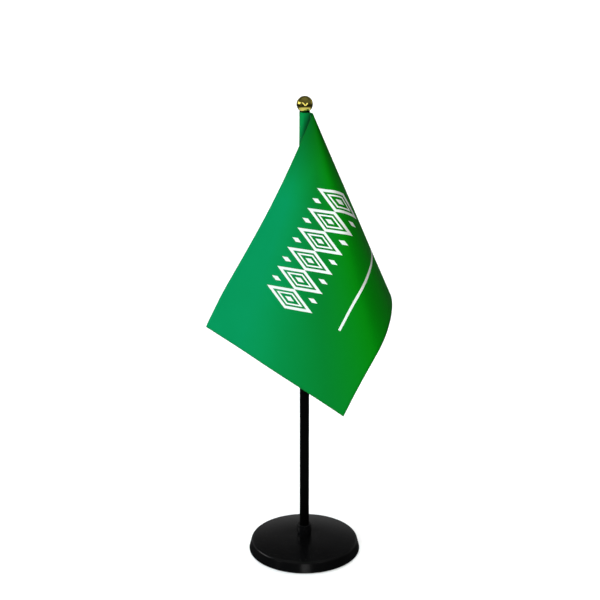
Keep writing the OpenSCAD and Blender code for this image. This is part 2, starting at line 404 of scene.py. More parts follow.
def satin_pvc(colour_value):
    """Extruded black tube: a satin skin with faint draw lines along its length."""
    material, tree, shader = new_material("satin_black_tube", {"IOR": 1.5, "Specular IOR Level": 0.08})
    where = object_coordinates(tree)
    # Draw lines 0.4 mm wide that run for 60 mm or so
    lines = noise(tree, where, 0.4 * MM, detail=2, stretch=(1, 1, 0.4 / 60))
    tree.links.new(spread(tree, lines, 0.36, 0.5), shader.inputs["Roughness"])
    rub = noise(tree, where, 20 * MM, detail=5)
    base = mixed(tree, spread(tree, rub, 0.0, 0.3, 0.45, 0.8), colour_value, linear("#050506"))
    tree.links.new(base, shader.inputs["Base Color"])
    bumped(tree, shader, lines, 0.01 * MM, 0.6)
    return material


def gold_plate(colour_value):
    """Vacuum-plated gold on a polished ball: a mirror with a slight unevenness from the moulding."""
    material, tree, shader = new_material("mirror_gold_plate", {"Metallic": 1.0})
    where = object_coordinates(tree)
    wear = noise(tree, where, 3 * MM, detail=3)
    tree.links.new(spread(tree, wear, 0.04, 0.08), shader.inputs["Roughness"])
    base = mixed(tree, spread(tree, wear, 0.0, 0.5), colour_value, linear("#d8b842"))
    tree.links.new(base, shader.inputs["Base Color"])
    bumped(tree, shader, noise(tree, where, 5 * MM, detail=1), 0.08 * MM, 0.5)
    return material


def moulded_black():
    """Black ABS from an etched mould: matte, with a grain of about 0.5 mm."""
    material, tree, shader = new_material("etched_black_abs", {"IOR": 1.5})
    where = object_coordinates(tree)
    grain = noise(tree, where, 0.5 * MM, detail=2)
    tree.links.new(spread(tree, grain, 0.5, 0.68), shader.inputs["Roughness"])
    base = mixed(tree, grain, linear("#101012"), linear("#1c1c1f"))
    tree.links.new(base, shader.inputs["Base Color"])
    bumped(tree, shader, grain, 0.03 * MM)
    return material


def grip_rubber():
    """Black sheet rubber: dull, dusty, with a shallow checked impression 5 mm apart."""
    material, tree, shader = new_material("sheet_rubber", {"IOR": 1.52})
    where = object_coordinates(tree)
    check_scale = 62.5
    check_x, check_y = (waves(tree, where, check_scale, axis) for axis in "XY")
    checks = maths(tree, "MULTIPLY", check_x, check_y)
    dust = noise(tree, where, 9 * MM, detail=6)
    base = mixed(tree, spread(tree, dust, 0.0, 0.8), linear("#111112"), linear("#242426"))
    tree.links.new(base, shader.inputs["Base Color"])
    tree.links.new(spread(tree, dust, 0.72, 0.9), shader.inputs["Roughness"])
    bumped(tree, shader, checks, 0.05 * MM)
    return material


def zinc_steel():
    """Zinc-plated steel: bright grey with a slight blue and a fine crystalline mottle."""
    material, tree, shader = new_material("zinc_plated_steel", {"Metallic": 1.0})
    mottle = noise(tree, object_coordinates(tree), 0.7 * MM, detail=4)
    base = mixed(tree, mottle, linear("#a9adb3"), linear("#d3d6da"))
    tree.links.new(base, shader.inputs["Base Color"])
    tree.links.new(spread(tree, mottle, 0.25, 0.42), shader.inputs["Roughness"])
    return material


def cast_iron():
    """Iron as cast: dark grey, with a sand-grain skin of about 0.8 mm and a little rust bloom."""
    material, tree, shader = new_material("cast_iron", {"Metallic": 1.0})
    where = object_coordinates(tree)
    grain = noise(tree, where, 0.8 * MM, detail=4)
    bloom = noise(tree, where, 14 * MM, detail=5)
    iron = mixed(tree, grain, linear("#3d3d40"), linear("#57585b"))
    base = mixed(tree, spread(tree, bloom, 0.0, 0.5, 0.55, 0.75), iron, linear("#5c4232"))
    tree.links.new(base, shader.inputs["Base Color"])
    tree.links.new(spread(tree, grain, 0.55, 0.75), shader.inputs["Roughness"])
    bumped(tree, shader, grain, 0.08 * MM)
    return material


def sewing_thread(colour_value):
    """Polyester thread: soft sheen, with slow bands of shade that repeat every 6 mm down the seam."""
    material, tree, shader = new_material("sewing_thread", {"Roughness": 0.55, "Sheen Weight": 0.2})
    band_scale = 100.0
    bands = waves(tree, object_coordinates(tree), band_scale, "DIAGONAL")
    dark = tuple(0.7 * c for c in colour_value)
    tree.links.new(mixed(tree, bands, dark, colour_value), shader.inputs["Base Color"])
    bumped(tree, shader, bands, 0.04 * MM)
    return material


def distance(tree, value, centre):
    """How far a value lies from a centre, either way."""
    return maths(tree, "ABSOLUTE", maths(tree, "SUBTRACT", value, centre))


def within(tree, value, low, high):
    """1 where a value lies between two numbers, else 0."""
    return maths(tree, "LESS_THAN", distance(tree, value, (low + high) / 2), (high - low) / 2)


def motif_mask(tree, across, down):
    """White where the printed motif is, from flat cloth distances in metres.

    It is a band of linked lozenges over a plain bar. Each lozenge is the set of points whose
    two triangle waves, one across and one down, add up to less than its size, and the outlines are
    narrow bands of that same sum.
    """
    start, end, pitch = 42.0 * MM, 150.0 * MM, 18.0 * MM
    band_mid, band_half = 53.5 * MM, 23.0 * MM
    bar_down, bar_half = 103.5 * MM, 1.1 * MM
    cell = maths(tree, "FRACT", maths(tree, "DIVIDE", maths(tree, "SUBTRACT", across, start), pitch))
    wave_across = distance(tree, maths(tree, "MULTIPLY", cell, 2.0), 1.0)
    wave_down = maths(tree, "DIVIDE", distance(tree, down, band_mid), band_half)
    total = maths(tree, "ADD", wave_across, wave_down)
    # Each outline is a band of the sum, given by its middle and half its width
    outer = maths(tree, "LESS_THAN", distance(tree, total, 0.87), 0.13)
    inner = maths(tree, "LESS_THAN", distance(tree, total, 0.5), 0.07)
    heart = maths(tree, "LESS_THAN", total, 0.2)
    # Small lozenges fill the corners between the large ones
    corner_down, corner_least = 0.8, 0.8
    corner = maths(tree, "SUBTRACT", wave_across, distance(tree, wave_down, corner_down))
    corner = maths(tree, "GREATER_THAN", corner, corner_least)
    corner = maths(tree, "MULTIPLY", corner, within(tree, across, start + pitch / 2, end - pitch / 2))
    outlines = maths(tree, "MAXIMUM", outer, inner)
    filled = maths(tree, "MAXIMUM", heart, corner)
    marks = maths(tree, "MAXIMUM", outlines, filled)
    marks = maths(tree, "MULTIPLY", marks, maths(tree, "LESS_THAN", wave_down, 1.0))
    marks = maths(tree, "MULTIPLY", marks, within(tree, across, start, end))
    bar = maths(tree, "LESS_THAN", distance(tree, down, bar_down), bar_half)
    bar = maths(tree, "MULTIPLY", bar, within(tree, across, start + pitch, end - pitch / 2))
    return maths(tree, "MAXIMUM", marks, bar)


def printed_polyester(cloth, cloth_cool_lit, motif, flat_w, flat_h, hem_w):
    """Dyed woven polyester: a fine even weave, a soft sheen, and edges sealed by a hot knife, with
    painted cool light, painted shade and a painted shadow on the sleeve mixed into its colour.

    The weave is 0.3 mm a thread in life. It is drawn 0.6 mm apart, so that it shows close up.
    """
    material, tree, shader = new_material(
        "printed_polyester",
        {"IOR": 1.5, "Specular IOR Level": 0.15, "Sheen Weight": 0.03, "Sheen Roughness": 0.4,
         "Sheen Tint": rgba(linear("#8dffc0"))},
    )
    flat = node(tree, "ShaderNodeUVMap", {"uv_map": "flat"}).outputs["UV"]
    parts = node(tree, "ShaderNodeSeparateXYZ", links={"Vector": flat})
    across = maths(tree, "MULTIPLY_ADD", parts.outputs["X"], flat_w, -hem_w)
    down = maths(tree, "MULTIPLY", parts.outputs["Y"], flat_h)
    metres = node(tree, "ShaderNodeCombineXYZ", links={"X": across, "Y": down}).outputs["Vector"]

    # Painted cool light: the colour is painted bluer towards the top edge, as the tint of a cool light
    # from the left, along lines that fan out from the seam's top, and the sleeve lies between the two
    fan = maths(tree, "ARCTAN2", across, maths(tree, "ADD", down, FOLD_RISE))
    painted_cool_light = spread(tree, fan, 0.0, 1.0, math.radians(46), math.radians(80))
    painted_cool_light = maths(tree, "POWER", painted_cool_light, 1.25)
    # Painted shade near the point that the folds run from: the cloth is painted darker and less blue there
    squares = maths(tree, "ADD", maths(tree, "POWER", across, 2.0), maths(tree, "POWER", down, 2.0))
    reach = maths(tree, "SQRT", squares)
    painted_cool_light = maths(tree, "MULTIPLY", painted_cool_light, spread(tree, reach, 0.3, 1.0, 20 * MM, 75 * MM))
    sleeve = maths(tree, "LESS_THAN", across, 0.0)
    painted_cool_light = maths(tree, "MAXIMUM", painted_cool_light, maths(tree, "MULTIPLY", sleeve, 0.6))
    dye_and_painted_light = mixed(tree, painted_cool_light, cloth, cloth_cool_lit)
    # Painted shade: a darker band down the middle of the fan, mixed with the other painted shade towards
    # black
    middle = spread(tree, distance(tree, fan, math.radians(58)), 0.2, 0.0, 0.0, math.radians(16))
    painted_tip_shade = spread(tree, reach, 0.52, 0.0, 5 * MM, 60 * MM)
    painted_tip_shade = maths(tree, "MULTIPLY", painted_tip_shade, maths(tree, "GREATER_THAN", across, 0.0))
    # Painted shadow on the sleeve where the panel turns over it, along a line that slants away from the seam
    slant = maths(tree, "MULTIPLY_ADD", down, 0.3, across)
    painted_sleeve_shadow = spread(tree, slant, 0.0, 0.82, -6.2 * MM, -0.7 * MM)
    painted_sleeve_shadow = maths(tree, "MULTIPLY", painted_sleeve_shadow, spread(tree, down, 1.0, 0.0, 26 * MM, 38 * MM))
    painted_sleeve_shadow = maths(tree, "MULTIPLY", painted_sleeve_shadow, sleeve)
    painted_shade = maths(tree, "MAXIMUM", maths(tree, "MAXIMUM", middle, painted_tip_shade), painted_sleeve_shadow)
    dye_and_painted_light = mixed(tree, painted_shade, dye_and_painted_light, linear("#000000"))
    patch = spread(tree, noise(tree, metres, 30 * MM, detail=3), 0.0, 0.08)
    dye_and_painted_light = mixed(tree, patch, dye_and_painted_light, tuple(0.7 * c for c in cloth))

    # Warp and weft threads
    step = 0.6 * MM
    warp = maths(tree, "SINE", maths(tree, "MULTIPLY", across, TAU / step))
    weft = maths(tree, "SINE", maths(tree, "MULTIPLY", down, TAU / step))
    weave = maths(tree, "MULTIPLY", warp, weft)
    shade = spread(tree, weave, 0.06, 0.0, -1.0, 1.0)
    dye_and_painted_light = mixed(tree, shade, dye_and_painted_light, linear("#002719"))
    printed = mixed(tree, motif_mask(tree, across, down), dye_and_painted_light, motif)

    # The melted edge is a darker, harder line about 0.4 mm wide
    edge_far = maths(tree, "SUBTRACT", flat_w - hem_w, across)
    edge_level = maths(tree, "MINIMUM", down, maths(tree, "SUBTRACT", flat_h, down))
    edge = maths(tree, "MINIMUM", edge_level, edge_far)
    sealed = spread(tree, edge, 1.0, 0.0, 0.25 * MM, 0.6 * MM)
    printed = mixed(tree, maths(tree, "MULTIPLY", sealed, 0.45), printed, tuple(0.4 * c for c in cloth))
    tree.links.new(printed, shader.inputs["Base Color"])
    tree.links.new(spread(tree, sealed, 0.62, 0.4, 0.0, 1.0), shader.inputs["Roughness"])
    bumped(tree, shader, weave, 0.02 * MM, 0.5)
    return material


# ---------- Cloth ----------

# Where the fold lines of the hanging cloth cross a level plane that is one unit below the point
# they all run from: from the seam, round the soft fold at the right, to the free end at the left
DRAPE = ((0, 0), (0.24, 0.05), (0.37, 0.02), (0.43, -0.1), (0.41, -0.24), (0.33, -0.345), (0.24, -0.36),
         (0.07, -0.28), (-0.15, -0.18), (-0.49, -0.035))
# That point's height over the sleeve's top
FOLD_RISE = 1.2 * MM
# Rows of points down the flag, and columns across its hanging part, the seam's own among them
CLOTH_ROWS, CLOTH_COLUMNS = 96, 118


def smooth_line(points, steps):
    """A Catmull-Rom curve through the points: each stretch blends its two ends and two neighbours."""
    p = np.asarray(points, float)
    p = np.vstack([2 * p[0] - p[1], p, 2 * p[-1] - p[-2]])
    p0, p1, p2, p3 = (p[i : len(p) - 3 + i, None] for i in range(4))
    t = np.linspace(0, 1, steps, endpoint=False)[None, :, None]
    curve = (2 * p1 + (p2 - p0) * t + (2 * p0 - 5 * p1 + 4 * p2 - p3) * t**2
             + (3 * p1 - p0 - 3 * p2 + p3) * t**3) / 2
    return np.vstack([curve.reshape(-1, p.shape[1]), p[-2:-1]])


class HangingCloth:
    """The developable cone that the flag hangs in.

    A flat point at distance r and angle a from the cone's tip goes to tip + r d(a), where d is a
    unit direction that turns by exactly a along the drape line. Lengths on the cloth are kept.
    """

    def __init__(self, tip):
        self.tip = np.asarray(tip)
        line = smooth_line(DRAPE, 64)
        rays = np.column_stack([line, -np.ones(len(line))])
        self.rays = rays / np.linalg.norm(rays, axis=1)[:, None]
        chords = np.linalg.norm(np.diff(self.rays, axis=0), axis=1)
        self.angles = np.concatenate([[0], np.cumsum(2 * np.arcsin(chords / 2))])

    def ray(self, angle):
        """Unit direction of the fold line at a flat angle from the seam."""
        d = np.stack([np.interp(angle, self.angles, self.rays[:, k]) for k in range(3)], -1)
        return d / np.linalg.norm(d, axis=-1)[..., None]

    def normal(self, angle):
        """Unit normal of the cloth along the fold line at a flat angle."""
        step = math.radians(1.0)
        n = np.cross(self.ray(np.maximum(angle - step, 0)), self.ray(angle + step))
        return n / np.linalg.norm(n, axis=-1)[..., None]

    def points(self, across, down):
        """Cloth points at flat distances across from the seam and down from the top edge.

        A soft ripple is added along the normal: waves along the fold lines that grow with the
        distance from the tip, and die out at the seam. The top edge also bows down in its own
        plane, by a sine along it that turns over near the free end, because a weave shears.
        """
        bow_depth, bow_fade, bow_turn = 4.0 * MM, 45 * MM, 0.785
        ripple_height, full_reach, calm_width, slip_length = 0.9 * MM, 0.24, 0.03, 0.2
        share = across / across.max()
        bow = np.sin(math.pi * np.clip(share, 0, 1)) ** 0.8 * (1 - (share / bow_turn) ** 3)
        down = down + bow_depth * bow * np.exp(-down / bow_fade)
        angle = np.arctan2(across, down + FOLD_RISE)
        reach = np.hypot(across, down + FOLD_RISE)
        wave = 0.55 * np.sin(9.0 * angle + 0.6) + 0.35 * np.sin(17.0 * angle + 2.1)
        wave = wave + 0.25 * np.sin(23.0 * angle + 14.0 * reach / slip_length)
        grow = (reach / full_reach) ** 1.5 * np.clip(across / calm_width, 0, 1) ** 2
        ripple = ripple_height * wave * grow
        return self.tip + reach[..., None] * self.ray(angle) + ripple[..., None] * self.normal(angle)


def sleeve_path(sizes, sleeve_r, gap):
    """Plan of the sleeve as a polyline in the seam's own frame, x along the seam tab.

    It starts at the raw edge on the tab's far face, runs in along the tab, leaves it on a tangent,
    goes round the pole and comes back out along the near face to the seam's outer edge.
    """
    reach = sizes.seam_reach
    # The raw edge stops a little inside the seam's outer edge
    inset = reach - 0.7 * MM
    join = sleeve_r + 1.6 * MM
    straight = join + 0.8 * MM
    lean = math.acos(sleeve_r / join)
    around = np.linspace(lean, TAU - lean, 40)
    ring = sleeve_r * np.column_stack([np.cos(around), np.sin(around)])
    out = np.array([[inset, gap], [straight, gap], [join, gap * 1.2]])
    back = np.array([[join, -gap * 1.2], [straight, -gap], [inset, -gap * 0.8], [reach, 0]])
    return np.vstack([out, ring, back])


def flag_grid(sizes):
    """Points of the whole cloth as rows down the flag and columns along it, and their flat places.

    The sleeve's columns follow its plan at every height. From the seam on, each column is a flat
    distance across the hanging cone.
    """
    turn = sizes.seam_turn
    tip = (sizes.seam_reach * math.cos(turn), sizes.seam_reach * math.sin(turn), SLEEVE_TOP + FOLD_RISE)
    cloth = HangingCloth(tip)
    down = FLAG_H * np.linspace(0, 1, CLOTH_ROWS) ** 1.25

    # The sleeve is snug at the top and a little fuller below
    snug = POLE_R + 0.2 * MM
    full = POLE_R + 0.6 * MM
    fullness = np.clip(down / (60 * MM), 0, 1)
    fullness = fullness * fullness * (3 - 2 * fullness)
    widths = snug + (full - snug) * fullness
    plans = np.stack([sleeve_path(sizes, r, sizes.cloth_thickness * 0.75) for r in widths])
    plans = plans @ about_z(turn)[:2, :2]
    heights = np.broadcast_to((SLEEVE_TOP - down)[:, None, None], (*plans.shape[:2], 1))
    sleeve = np.concatenate([plans, heights], -1)
    along = np.concatenate([[0], np.cumsum(np.linalg.norm(np.diff(plans[-1], axis=0), axis=1))])
    hem = along[-1]

    # Columns are close together near the seam, where the cloth turns in a small space
    across = sizes.flag_width * np.linspace(0, 1, CLOTH_COLUMNS)[1:] ** 1.35
    u, v = np.meshgrid(across, down)
    panel = cloth.points(u, v)
    points = np.concatenate([sleeve, panel], axis=1)
    flat_u = np.concatenate([along, hem + across])
    return points, flat_u, down, hem


def set_flat_uv(mesh, flat_u, down, flat_w, flat_h):
    """Stores each corner's place on the flat cloth as the UV map named flat, from 0 to 1."""
    u, v = np.meshgrid(flat_u / flat_w, down / flat_h)
    per_point = np.column_stack([u.ravel(), v.ravel()])
    corner = np.empty(len(mesh.loops), np.int32)
    mesh.loops.foreach_get("vertex_index", corner)
    layer = mesh.uv_layers.new(name="flat")
    layer.data.foreach_set("uv", per_point[corner].astype(np.float32).ravel())


# ---------- Operators ----------


def settings():
    """The scene's sizes and colours."""
    return bpy.context.scene.flag_stand_sizes, bpy.context.scene.flag_stand_colours


def finish_piece(obj, body, slot, *nodes):
    """Rides a new piece on its body, in place of the CAD nodes it stands for."""
    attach(obj, body)
    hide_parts(*nodes)
    return obj


class FLAGSTAND_OT_base(bpy.types.Operator):
    """Turn the base cover and the collar, and finish the pieces under them"""

    bl_idname = "flagstand.base"
    bl_label = "Base"

    def execute(self, context):
        sizes, colours = settings()
        black = gloss_abs(colours.gloss_black)
        finish_piece(new_object("base_cover", self.cover(sizes), black), "base", "gloss_black", "base_shell")
        finish_piece(new_object("collar", self.collar(sizes), black), "base", "gloss_black", "pole_collar")
        pad = lathe("grip_pad_sheet", self.pad_profile(), sizes.rings)
        finish_piece(new_object("grip_pad_sheet", pad, grip_rubber()), "base", "rubber", "grip_pad")
        steel = zinc_steel()
        for name, material in (
            ("bottom_plate", moulded_black()), ("plate_screws", steel), ("collar_nut", steel),
            ("ballast_disc", cast_iron()),
        ):
            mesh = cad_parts[name].data
            mesh.materials.clear()
            mesh.materials.append(material)
        return {"FINISHED"}

    @staticmethod
    def cover(sizes):
        """Cover: up the leaning wall, round the shoulder, over a parabolic dome to the flat seat, down
        the collar's hole and back along the inside."""
        t, shoulder_r = sizes.shell_wall, RIM_R - sizes.wall_lean
        shoulder_z = BASE_TOP - sizes.dome_rise
        hole_r = POLE_R + 1.6 * MM
        share = np.linspace(0, 1, 40)[:, None]
        dome_r = (shoulder_r - 1.5 * MM) * (1 - share) + sizes.seat_radius * share
        rise = sizes.dome_rise * (1 - ((dome_r - sizes.seat_radius) / (shoulder_r - sizes.seat_radius)) ** 2)
        dome = np.hstack([dome_r, shoulder_z + rise])
        wall = [(RIM_R - t, RIM_Z), (RIM_R, RIM_Z), (shoulder_r, shoulder_z)]
        edges = [0, 0.5 * MM, sizes.shoulder_radius]
        hole = [(hole_r, BASE_TOP), (hole_r, BASE_TOP - t)]
        inside = [(shoulder_r - t - 1 * MM, shoulder_z - t + 0.4 * MM), (RIM_R - t, RIM_Z + 2 * MM)]
        corners = [*wall, *dome.tolist(), *hole, *inside, (RIM_R - t, RIM_Z)]
        radii = [*edges, *([0] * len(dome)), 0.3 * MM, 0, 1 * MM, 0, 0]
        profile = resampled(rounded(corners, radii), 1.2 * MM)[:-1]
        return lathe("base_cover", profile, sizes.rings, closed=True)

    @staticmethod
    def collar(sizes):
        """Collar: a shank under the dome and, over it, a bulge that follows the root of a sine."""
        bore_r = POLE_R + 0.1 * MM
        shank_r = bore_r + 1.3 * MM
        share = np.linspace(0, 1, 24)
        height = COLLAR_TOP - BASE_TOP
        neck_r = shank_r - 0.3 * MM
        swell = np.sqrt(np.sin(math.pi * (0.08 + 0.8 * share)))
        bulge = np.column_stack([neck_r + (COLLAR_R - neck_r) * swell, BASE_TOP + height * share])
        low = [(0, SHANK_Z), (shank_r, SHANK_Z), (shank_r, BASE_TOP)]
        top = [(bore_r, COLLAR_TOP), (bore_r, POLE_Z), (0, POLE_Z)]
        corners = [*low, *bulge.tolist(), *top]
        radii = [0, 0.4 * MM, 0, 0.5 * MM, *([0] * (len(bulge) - 2)), 0.6 * MM, 0.3 * MM, 0.2 * MM, 0]
        return lathe("collar", resampled(rounded(corners, radii), 0.8 * MM), sizes.rings // 2)

    @staticmethod
    def pad_profile():
        """Pad: a flat disc with softly rounded edges."""
        corners = [(0, PAD_Z), (PAD_R, PAD_Z), (PAD_R, PAD_TOP), (0, PAD_TOP)]
        return resampled(rounded(corners, [0, 0.4 * MM, 0.2 * MM, 0]), 4 * MM)


class FLAGSTAND_OT_pole(bpy.types.Operator):
    """Turn the pole and the rubber ring on it"""

    bl_idname = "flagstand.pole"
    bl_label = "Pole"

    def execute(self, context):
        sizes, colours = settings()
        wall, edge = 0.9 * MM, 0.25 * MM
        inner = POLE_R - wall
        corners = [
            (inner, POLE_Z), (POLE_R, POLE_Z), (POLE_R, POLE_TOP), (inner, POLE_TOP), (inner, POLE_Z),
        ]
        tube = resampled(rounded(corners, [0, edge, edge, 0, 0]), 6 * MM)[:-1]
        mesh = lathe("pole", tube, sizes.rings // 2, closed=True)
        pole = new_object("pole", mesh, satin_pvc(colours.satin_black))
        finish_piece(pole, "pole", "satin_black", "pole_tube")

        hole = POLE_R + 0.05 * MM
        middle = (RING_Z + RING_TOP) / 2
        corners = [
            (hole, middle), (hole, RING_Z), (RING_R, RING_Z), (RING_R, RING_TOP), (hole, RING_TOP),
            (hole, middle),
        ]
        inner_r, outer_r = 0.3 * MM, 0.5 * MM
        band = resampled(rounded(corners, [0, inner_r, outer_r, outer_r, inner_r, 0]), 0.6 * MM)[:-1]
        mesh = lathe("rubber_ring", band, sizes.rings // 2, closed=True)
        ring = new_object("rubber_ring", mesh, grip_rubber())
        finish_piece(ring, "ring", "rubber", "stop_ring")
        return {"FINISHED"}


class FLAGSTAND_OT_finial(bpy.types.Operator):
    """Turn the ball with its spigot"""

    bl_idname = "flagstand.finial"
    bl_label = "Finial"

    def execute(self, context):
        sizes, colours = settings()
        centre = BALL_TOP - BALL_R
        cut = math.asin((centre - POLE_TOP) / BALL_R)
        angles = np.linspace(-cut, math.pi / 2, 72)
        ball = np.column_stack([BALL_R * np.cos(angles), centre + BALL_R * np.sin(angles)])
        ball[-1, 0] = 0.0
        spigot_r = POLE_R - 1.0 * MM
        stem = rounded(
            [(0, SPIGOT_Z), (spigot_r, SPIGOT_Z), (spigot_r, POLE_TOP), tuple(ball[0])],
            [0, 0.6 * MM, 0, 0],
        )
        profile = resampled(np.vstack([stem[:-1], ball]), 1.0 * MM)
        mesh = lathe("ball_finial", profile, sizes.rings)
        finial = new_object("ball_finial", mesh, gold_plate(colours.gold))
        finish_piece(finial, "finial", "gold_plate", "finial_ball")
        bpy.data.collections["lit_ball"].objects.link(finial)
        return {"FINISHED"}


class FLAGSTAND_OT_flag(bpy.types.Operator):
    """Hang the flag: one sheet that wraps the pole, is sewn to itself and folds over to the front"""

    bl_idname = "flagstand.flag"
    bl_label = "Flag"

    def execute(self, context):
        sizes, colours = settings()
        points, flat_u, down, hem = flag_grid(sizes)
        rows, columns = points.shape[:2]
        mesh = mesh_from("flag_cloth", points.reshape(-1, 3), grid_faces(rows, columns))
        flat_w, flat_h = flat_u[-1], FLAG_H
        set_flat_uv(mesh, flat_u, down, flat_w, flat_h)
        cloth = printed_polyester(colours.cloth, colours.cloth_cool_lit, colours.motif, flat_w, flat_h, hem)
        flag = new_object("flag_cloth", mesh, cloth)
        solid = flag.modifiers.new("thickness", "SOLIDIFY")
        solid.thickness = sizes.cloth_thickness
        solid.offset = 0.0
        finish_piece(flag, "flag", "flag_cloth", "flag_panel", "flag_sleeve")
        thread = new_object("seam_thread", self.stitches(sizes), sewing_thread(colours.cloth))
        finish_piece(thread, "flag", "thread", "sleeve_stitching")
        return {"FINISHED"}

    @staticmethod
    def stitches(sizes):
        """Thread on both faces of the tab: each stitch is a low arch, round in section.

        Along a stitch, t from 0 to 1, the thread's centre rises from the cloth by a sine of pi t,
        and its section is a circle of eight points that narrows towards both ends.
        """
        pitch, long, thick = sizes.stitch_pitch, 2.6 * MM, sizes.thread_thickness
        count = int((FLAG_H - pitch) / pitch)
        reach = sizes.seam_reach - 1.0 * MM
        t = np.linspace(0, 1, 9)
        sides = 8
        round_angles = np.linspace(0, TAU, sides, endpoint=False)
        start_lift, arch, blunt = 0.3 * MM, 0.22 * MM, 0.12
        lift = start_lift + arch * np.sin(math.pi * t)
        taper = thick / 2 * np.sin(math.pi * np.clip(t, blunt, 1 - blunt)) ** 0.35
        x = reach + taper[:, None] * np.cos(round_angles)
        y = lift[:, None] + taper[:, None] * np.sin(round_angles)
        z = (0.5 - t)[:, None] * long + 0 * round_angles
        one = np.stack([x, y, z], -1)
        heights = SLEEVE_TOP - pitch * (1 + np.arange(count))
        both = np.stack([one, one * (1, -1, 1)])
        both[1] = both[1][:, ::-1]
        every = both[:, None] + np.stack([0 * heights, 0 * heights, heights], -1)[None, :, None, None]
        every = every.reshape(-1, len(t) * sides, 3) @ about_z(sizes.seam_turn)
        tube = grid_faces(len(t), sides, wrap_columns=True)
        caps = np.array([[0, 1, 2, 3], [0, 3, 4, 7], [4, 5, 6, 7]])
        end = (len(t) - 1) * sides
        faces = np.vstack([tube, caps[:, ::-1], caps + end])
        offsets = np.arange(len(every))[:, None, None] * len(t) * sides
        faces = (faces[None] + offsets).reshape(-1, 4)
        return mesh_from("seam_thread", every.reshape(-1, 3), faces)


